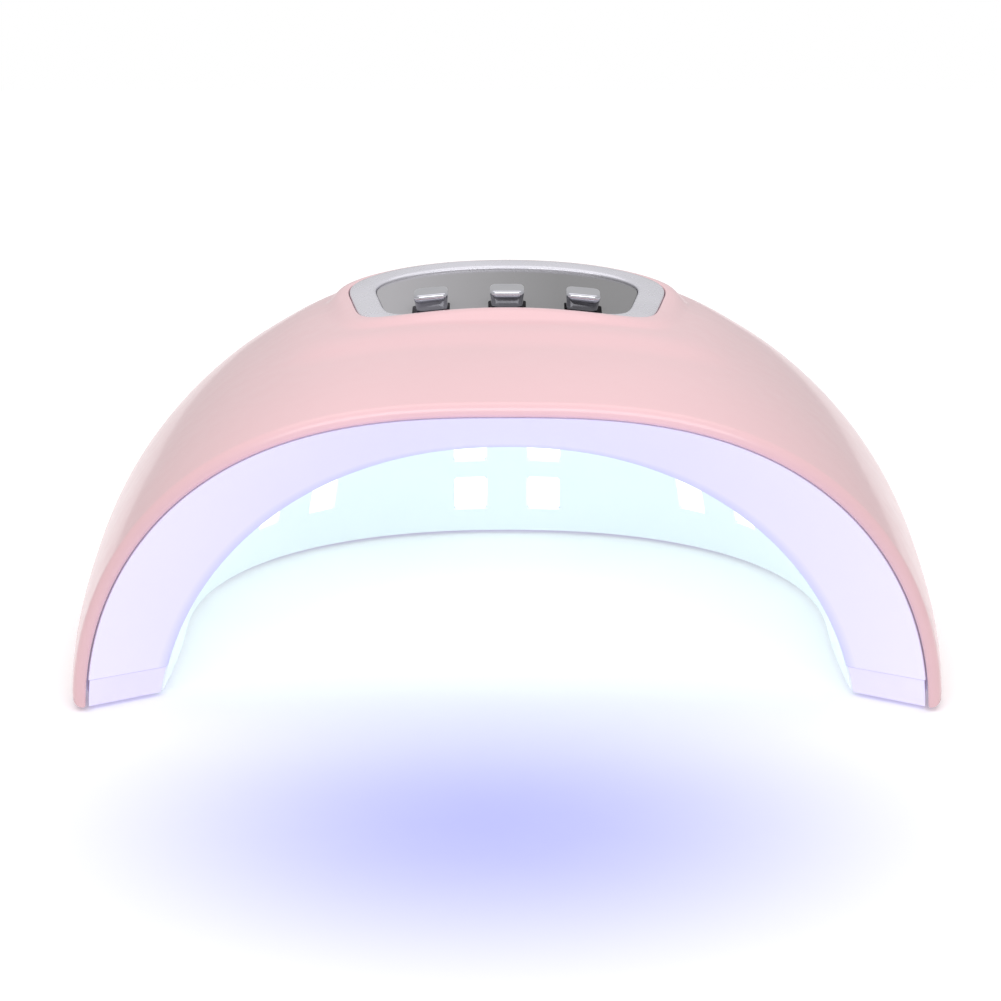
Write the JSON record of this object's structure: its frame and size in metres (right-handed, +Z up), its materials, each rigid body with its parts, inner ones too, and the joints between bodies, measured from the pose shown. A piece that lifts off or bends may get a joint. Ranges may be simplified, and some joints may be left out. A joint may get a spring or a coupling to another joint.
{
  "type": "uv led nail lamp",
  "caption": "Small arched UV LED nail lamp: a glossy pink dome open at the front and below, with a lit white reflector inside and push buttons on a silver-edged panel on top.",
  "frame": {"origin": "on the table, under the middle of the lamp's footprint", "axes": "+Z up, -Y out of the hand opening at the front, X across; the lamp is symmetric about X = 0"},
  "size_m": [0.1526, 0.136, 0.0641],
  "materials": {
    "pink_shell": "high gloss moulded, pastel pink",
    "white_reflector": "smooth white reflector plastic",
    "front_frame": "satin white that takes the lilac of the lights",
    "white_base": "fine matt white",
    "foot_rubber": "soft matt",
    "screw_steel": "zinc plated",
    "satin_bezel": "satin silver paint on plastic",
    "smoke_panel": "smoked glossy panel",
    "chrome_button": "bright chrome plating",
    "switch_key": "black",
    "switch_body": "black moulded",
    "green_board": "solder mask",
    "chip_black": "moulded package",
    "inductor_grey": "ferrite",
    "capacitor_can": "bright can",
    "ceramic_parts": "fired ceramic",
    "socket_nylon": "natural nylon",
    "socket_metal": "plated sheet",
    "white_board": "white solder mask",
    "led_chip": "phosphor and white package",
    "clear_lens": "clear, lit violet blue",
    "red_lead": "insulated wire",
    "black_lead": "insulated wire",
    "white_lead": "insulated wire"
  },
  "bodies": {
    "housing": {"outer_shell": "pink_shell", "reflector_dome": "white_reflector", "top_light_plate": "white_reflector", "front_frame": "front_frame", "base_frame": "white_base", "rubber_feet": "foot_rubber", "base_screws": "screw_steel", "board_screws": "screw_steel", "power_board_screws": "screw_steel", "control_bezel": "satin_bezel", "panel_plate": "smoke_panel", "timer_switch_left": "switch_body", "timer_switch_middle": "switch_body", "timer_switch_right": "switch_body", "control_board": "green_board", "power_board": "green_board", "controller_chip": "chip_black", "driver_chips": "chip_black", "driver_inductor": "inductor_grey", "storage_capacitor": "capacitor_can", "small_components": "ceramic_parts", "lead_sockets": "socket_nylon", "power_socket": "socket_metal", "power_socket_tongue": "switch_body", "rear_led_board": "white_board", "left_led_board": "white_board", "right_led_board": "white_board", "top_led_board": "white_board", "rear_led_chips": "led_chip", "left_led_chips": "led_chip", "right_led_chips": "led_chip", "top_led_chips": "led_chip", "rear_lenses": "clear_lens", "left_lenses": "clear_lens", "right_lenses": "clear_lens", "top_lenses": "clear_lens", "power_lead_red": "red_lead", "power_lead_black": "black_lead", "rear_led_lead": "white_lead", "left_led_lead": "white_lead", "right_led_lead": "white_lead", "top_led_lead": "white_lead"},
    "button_left": {"timer_button_left": "chrome_button", "switch_plunger_left": "switch_key"},
    "button_middle": {"timer_button_middle": "chrome_button", "switch_plunger_middle": "switch_key"},
    "button_right": {"timer_button_right": "chrome_button", "switch_plunger_right": "switch_key"}
  },
  "joints": [
    {"name": "timer_button_left_press", "type": "slide", "parent": "housing", "child": "button_left", "axis": [0.0954, 0.0269, -0.9951], "range_m": [0, 0.00045], "stiffness_N_per_m": 1500},
    {"name": "timer_button_middle_press", "type": "slide", "parent": "housing", "child": "button_middle", "axis": [0, 0.027, -0.9996], "range_m": [0, 0.00045], "stiffness_N_per_m": 1500},
    {"name": "timer_button_right_press", "type": "slide", "parent": "housing", "child": "button_right", "axis": [-0.0954, 0.0269, -0.9951], "range_m": [0, 0.00045], "stiffness_N_per_m": 1500}
  ]
}
